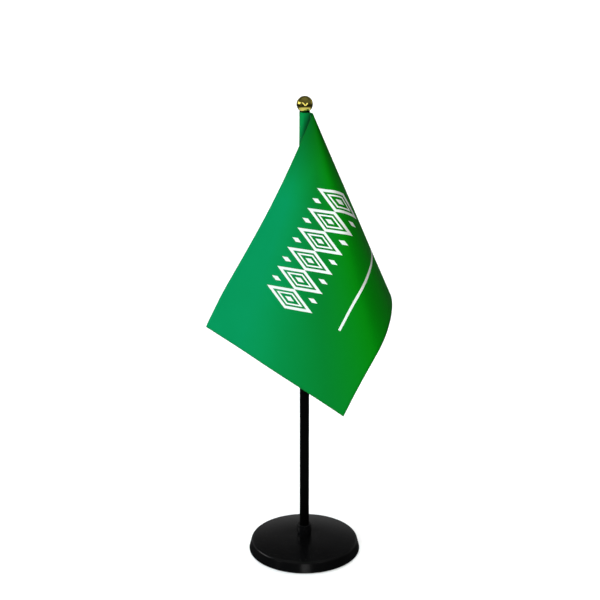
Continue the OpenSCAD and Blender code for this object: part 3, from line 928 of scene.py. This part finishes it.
class FLAGSTAND_OT_stage(bpy.types.Operator):
    """Lay the pale floor and backdrop, and set the soft lights and the camera"""

    bl_idname = "flagstand.stage"
    bl_label = "Stage"

    # Soft suns that light the cloth and the floor: name, azimuth from -Y towards +X, elevation and
    # angle in degrees, watts a square metre, tint
    SUNS = (
        ("main", -22, 24, 32, 2.45, (0.96, 1.0, 0.96)),
        ("left_window", -84, 22, 25, 0.6, (0.5, 1.0, 1.3)),
        ("behind", 178, 32, 50, 1.5, (1.0, 1.0, 1.0)),
    )
    # Strip lights that the glossy pieces mirror: name, azimuth, elevation, roll, distance, width,
    # height, watts, and whether it lights the ball alone
    STRIPS = (
        ("strip_front", 2, -3.5, 0, 2.8, 0.7, 0.4, 0.85, False),
        ("strip_left", -54, 2, 0, 2.6, 0.14, 0.5, 0.25, False),
        ("window_far_left", -95, 15, 0, 2.4, 1.3, 0.8, 5.2, False),
        ("bar_left", -36, 31, 0, 2.8, 1.9, 0.2, 0.4, False),
        ("box_right", 34, 19, 0, 2.8, 0.4, 0.6, 0.5, False),
        ("arm_left", -12, 16, -40, 2.5, 2.6, 0.6, 5.6, True),
        ("arm_right", 27, 12, 50, 2.5, 1.8, 0.6, 3.9, True),
        ("window_left", -72, 22, 0, 2.5, 1.2, 0.7, 2.2, True),
    )

    # Half the floor's side, and the backdrop's radius, in metres
    FLOOR_HALF, BACKDROP_R = 14.0, 13.0

    def execute(self, context):
        self.floor()
        self.backdrop()
        self.world(context.scene)
        for name, azimuth, elevation, angle, strength, tint in self.SUNS:
            lamp = bpy.data.lights.new(name, "SUN")
            lamp.angle, lamp.energy, lamp.color = math.radians(angle), strength, tint
            # The glossy pieces mirror the strips and the room, not these wide discs
            self.aim(name, lamp, azimuth, elevation, 3.0).visible_glossy = False
        ball_only = bpy.data.collections.new("lit_ball")
        for name, azimuth, elevation, roll, distance_away, width, height, watts, ball in self.STRIPS:
            lamp = bpy.data.lights.new(name, "AREA")
            lamp.shape, lamp.size, lamp.size_y, lamp.energy = "RECTANGLE", width, height, watts
            strip = self.aim(name, lamp, azimuth, elevation, distance_away, roll)
            strip.visible_camera = False
            if ball:
                strip.light_linking.receiver_collection = ball_only
        self.camera(context.scene)
        context.scene.view_settings.view_transform = "Standard"
        return {"FINISHED"}

    @staticmethod
    def aim(name, lamp, azimuth, elevation, distance_away, roll=0.0):
        """Places a lamp round the middle of the stand, facing it, rolled about its own axis."""
        a, e = math.radians(azimuth), math.radians(elevation)
        away = np.array([math.sin(a) * math.cos(e), -math.cos(a) * math.cos(e), math.sin(e)])
        obj = bpy.data.objects.new(name, lamp)
        place = Matrix.Translation(np.array([0, 0, POLE_TOP / 2]) + away * distance_away)
        turn = Matrix.Rotation(a, 4, "Z") @ Matrix.Rotation(math.pi / 2 - e, 4, "X")
        obj.matrix_world = place @ turn @ Matrix.Rotation(math.radians(roll), 4, "Z")
        bpy.context.scene.collection.objects.link(obj)
        return obj

    @staticmethod
    def lit_paper(name, diffuse, glow):
        """White paper that is lit evenly from behind."""
        material, tree, shader = new_material(name, {"Roughness": 0.9, "Specular IOR Level": 0.1})
        grain = noise(tree, object_coordinates(tree), 400 * MM, detail=2)
        low, high = tuple(diffuse - 0.02 for _ in range(3)), tuple(diffuse for _ in range(3))
        tree.links.new(mixed(tree, grain, low, high), shader.inputs["Base Color"])
        shader.inputs["Emission Color"].default_value = (1, 1, 1, 1)
        shader.inputs["Emission Strength"].default_value = glow
        return material

    def floor(self):
        """A flat floor that reaches the horizon. It shows to the camera only, as a lit table does."""
        size = self.FLOOR_HALF
        corners = np.array([[-size, -size, 0], [size, -size, 0], [size, size, 0], [-size, size, 0]])
        mesh = mesh_from("floor", corners, np.array([[0, 1, 2, 3]]))
        floor = new_object("floor", mesh, self.lit_paper("floor_paper", 0.8, 0.12))
        floor.visible_diffuse = floor.visible_glossy = False
        # A wide sun from overhead that only the floor receives
        lamp = bpy.data.lights.new("table_light", "SUN")
        lamp.angle, lamp.energy = math.radians(70), 2.5
        overhead = self.aim("table_light", lamp, 0, 89, 3.0)
        only_floor = bpy.data.collections.new("lit_from_above")
        only_floor.objects.link(floor)
        overhead.light_linking.receiver_collection = only_floor

    def backdrop(self):
        """A half sphere of lit paper round the scene, for the camera only."""
        angles = np.radians(np.linspace(-3, 90, 24))
        profile = self.BACKDROP_R * np.column_stack([np.cos(angles), np.sin(angles)])
        profile = np.vstack([[0, profile[0, 1]], profile])
        profile[-1, 0] = 0.0
        mesh = lathe("backdrop", profile, 48)
        backdrop = new_object("backdrop", mesh, self.lit_paper("backdrop_paper", 0.2, 0.96))
        backdrop.visible_diffuse = backdrop.visible_glossy = backdrop.visible_shadow = False
        backdrop.visible_transmission = False

    @staticmethod
    def world(scene):
        """A dark room with a pale wall behind the stand and a pale table right under it.

        Brightness follows the sine of the elevation: by a faint even rise in front, and by the ramp
        behind, straight below and overhead. The wall fades in from front to back.
        """
        world = bpy.data.worlds.new("studio")
        scene.world = world
        world.use_nodes = True
        tree = world.node_tree
        tree.nodes.clear()
        direction = node(tree, "ShaderNodeTexCoord").outputs["Generated"]
        parts = node(tree, "ShaderNodeSeparateXYZ", links={"Vector": direction}).outputs
        ramp = node(tree, "ShaderNodeValToRGB", links={"Fac": spread(tree, parts["Z"], 0.0, 1.0, -1.0, 1.0)})
        # Place on the ramp, from straight down to straight up, and brightness there
        stops = (
            (0.0, 0.75), (0.16, 0.6), (0.24, 0.1), (0.35, 0.015), (0.49, 0.1), (0.53, 0.34),
            (0.62, 0.22), (0.735, 0.07), (0.85, 0.035), (0.93, 0.12), (1.0, 0.14),
        )
        ramp.color_ramp.interpolation = "EASE"
        while len(ramp.color_ramp.elements) < len(stops):
            ramp.color_ramp.elements.new(0.5)
        for element, (place, level) in zip(ramp.color_ramp.elements, stops):
            element.position = place
            element.color = (level, level, level, 1)
        wall = spread(tree, parts["Y"], 0.0, 1.0, -0.1, 0.6)
        below = spread(tree, parts["Z"], 1.0, 0.0, -0.5, -0.2)
        above = spread(tree, parts["Z"], 0.0, 1.0, 0.72, 0.85)
        share = maths(tree, "MAXIMUM", maths(tree, "MAXIMUM", wall, below), above)
        room = spread(tree, parts["Z"], 0.015, 0.1, -0.1, 0.5)
        level = node(tree, "ShaderNodeMix", links={"Factor": share, "A": room, "B": ramp.outputs["Color"]})
        background = node(tree, "ShaderNodeBackground", links={"Color": level.outputs["Result"]})
        node(tree, "ShaderNodeOutputWorld", links={"Surface": background.outputs["Background"]})

    @staticmethod
    def camera(scene):
        """A long lens about 1.26 m from the stand's middle, looking down on it."""
        data = bpy.data.cameras.new("camera")
        data.lens, data.sensor_width = 90.0, 36.0
        obj = bpy.data.objects.new("camera", data)
        pitch = math.radians(18.67)
        place = Matrix.Translation((-3.8 * MM, -1184 * MM, 630.2 * MM))
        obj.matrix_world = place @ Matrix.Rotation(math.pi / 2 - pitch, 4, "X")
        scene.collection.objects.link(obj)
        scene.camera = obj


class FLAGSTAND_PT_panel(bpy.types.Panel):
    """Sizes, colours and the steps that build the stand"""

    bl_idname = "FLAGSTAND_PT_panel"
    bl_label = "Flag Stand"
    bl_space_type = "VIEW_3D"
    bl_region_type = "UI"
    bl_category = "Flag Stand"

    def draw(self, context):
        layout = self.layout
        for group in (context.scene.flag_stand_sizes, context.scene.flag_stand_colours):
            box = layout.box()
            for name in group.__annotations__:
                box.prop(group, name)
        for step in STEPS:
            layout.operator(step.bl_idname)


STEPS = (FLAGSTAND_OT_stage, FLAGSTAND_OT_base, FLAGSTAND_OT_pole, FLAGSTAND_OT_finial, FLAGSTAND_OT_flag)
CLASSES = (FlagStandSizes, FlagStandColours, *STEPS, FLAGSTAND_PT_panel)


def register():
    for cls in CLASSES:
        bpy.utils.register_class(cls)
    bpy.types.Scene.flag_stand_sizes = PointerProperty(type=FlagStandSizes)
    bpy.types.Scene.flag_stand_colours = PointerProperty(type=FlagStandColours)


def unregister():
    del bpy.types.Scene.flag_stand_colours
    del bpy.types.Scene.flag_stand_sizes
    for cls in reversed(CLASSES):
        bpy.utils.unregister_class(cls)


def main():
    """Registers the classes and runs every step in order."""
    register()
    bpy.ops.flagstand.stage()
    bpy.ops.flagstand.base()
    bpy.ops.flagstand.pole()
    bpy.ops.flagstand.finial()
    bpy.ops.flagstand.flag()


if __name__ == "__main__":
    main()
